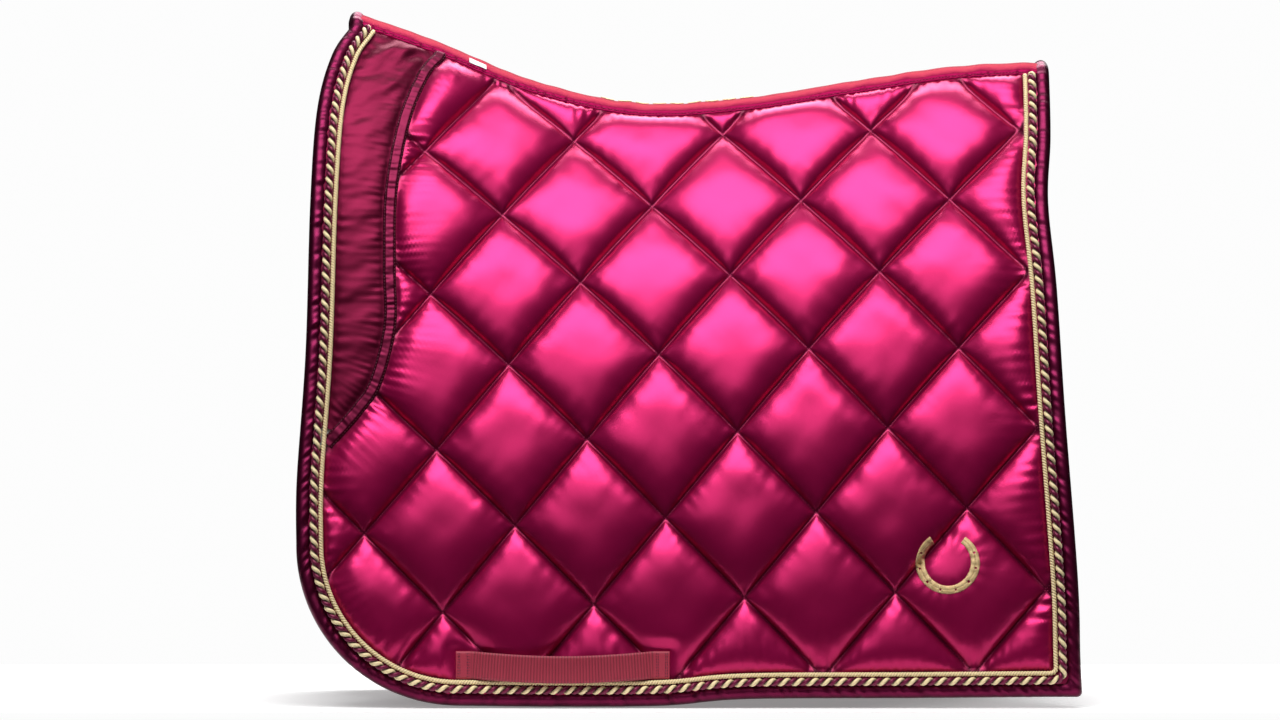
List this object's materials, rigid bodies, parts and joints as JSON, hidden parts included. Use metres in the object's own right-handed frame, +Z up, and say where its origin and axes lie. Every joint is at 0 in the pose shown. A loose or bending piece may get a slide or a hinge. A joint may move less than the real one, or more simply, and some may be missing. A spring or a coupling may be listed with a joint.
{
  "type": "saddle pad",
  "caption": "Quilted dressage saddle pad with contoured spine, two flaps that fold about it, bound and corded edges, wear panels and girth loops.",
  "frame": {"origin": "underside of the spine, halfway along it, where the pad lies on the middle of the horse's back", "axes": "+X towards the tail along the spine, +Z up, so -Y is the horse's left side and the front of the pad is at -X (left flap at -Y)"},
  "size_m": [0.7185, 0.3974, 0.6416],
  "materials": {
    "quilted_satin": "deep raspberry satin with a strong soft sheen",
    "wadding": "white needled wadding",
    "lining_fabric": "dark burgundy moisture-wicking mesh lining, matt",
    "wear_satin": "darker burgundy satin, smooth",
    "seam_satin": "dark burgundy satin tape",
    "binding_satin": "dark burgundy satin binding",
    "two_ply_rope": "glossy twisted rope of one gold and one burgundy ply",
    "gold_cord": "pale gold twisted cord",
    "webbing": "ribbed polyester webbing, brick red",
    "gold_thread": "pale gold embroidery thread",
    "label_cloth": "white woven label"
  },
  "bodies": {
    "spine": {"spine_strip": "quilted_satin", "spine_core": "wadding", "spine_tape": "lining_fabric", "spine_motif": "gold_thread"},
    "left_flap": {"left_outer_panel": "quilted_satin", "left_wadding": "wadding", "left_lining": "lining_fabric", "left_wear_panel": "wear_satin", "left_wear_tape": "seam_satin", "left_edge_binding": "binding_satin", "left_rope": "two_ply_rope", "left_fine_cord": "gold_cord", "left_girth_loop": "webbing", "left_crest": "gold_thread"},
    "right_flap": {"right_outer_panel": "quilted_satin", "right_wadding": "wadding", "right_lining": "lining_fabric", "right_wear_panel": "wear_satin", "right_wear_tape": "seam_satin", "right_edge_binding": "binding_satin", "right_rope": "two_ply_rope", "right_fine_cord": "gold_cord", "right_girth_loop": "webbing", "right_crest": "gold_thread"},
    "label": {"care_label": "label_cloth"}
  },
  "joints": [
    {"name": "left_flap_fold", "type": "hinge", "parent": "spine", "child": "left_flap", "pos_m": [0, 0, 0.0784], "axis": [-0.9974, 0, 0.0721], "range_deg": [0, 25]},
    {"name": "right_flap_fold", "type": "hinge", "parent": "spine", "child": "right_flap", "pos_m": [0, 0, 0.0784], "axis": [0.9974, 0, -0.0721], "range_deg": [0, 25]},
    {"name": "label_flip", "type": "hinge", "parent": "spine", "child": "label", "pos_m": [-0.19978, -0.01282, 0.05036], "axis": [-0.9149, 0, 0.4037], "range_deg": [0, 80]}
  ]
}
